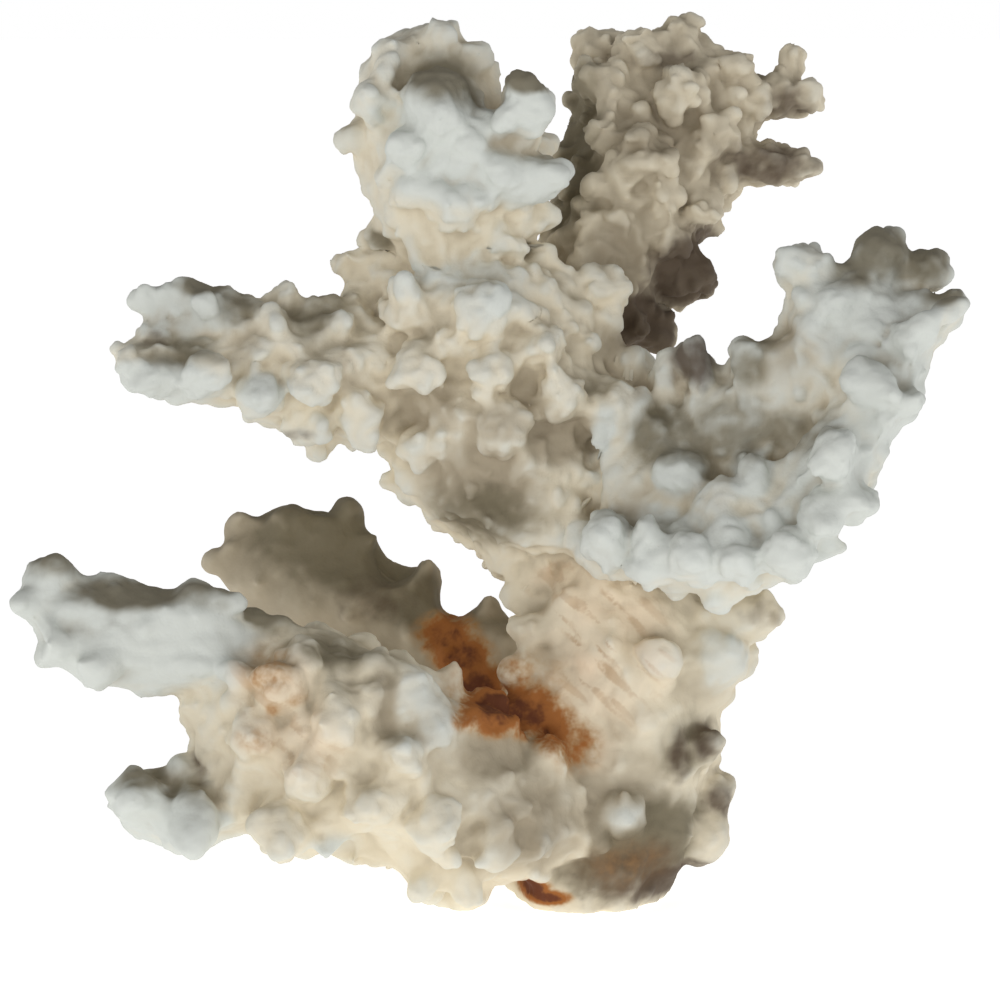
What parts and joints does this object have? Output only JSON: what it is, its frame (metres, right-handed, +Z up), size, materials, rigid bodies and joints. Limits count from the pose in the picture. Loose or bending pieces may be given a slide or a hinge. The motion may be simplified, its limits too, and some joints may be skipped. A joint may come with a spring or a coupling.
{
  "type": "branching coral",
  "caption": "Dried branching coral skeleton with stout knobby branches rising from one trunk, cut flat at its base so that it stands as a display piece.",
  "frame": {"origin": "on the flat cut under the trunk, where the coral grew, at the level of the surface it stands on", "axes": "+Z up, +X to the right of the front view and along the widest spread of the branches, -Y towards the viewer"},
  "size_m": [0.1856, 0.0997, 0.1766],
  "materials": {
    "cream_skeleton": "chalky, matt",
    "white_skeleton": "chalky, matt",
    "tan_skeleton": "chalky, matt, shaded brown"
  },
  "bodies": {
    "root": {"trunk": "cream_skeleton", "central_stem": "cream_skeleton", "lower_left_branch": "cream_skeleton", "left_finger": "white_skeleton", "low_left_finger": "white_skeleton", "back_left_branch": "tan_skeleton", "left_arm": "white_skeleton", "upper_left_branch": "white_skeleton", "right_branch": "white_skeleton", "upper_right_branch": "tan_skeleton"}
  },
  "joints": []
}
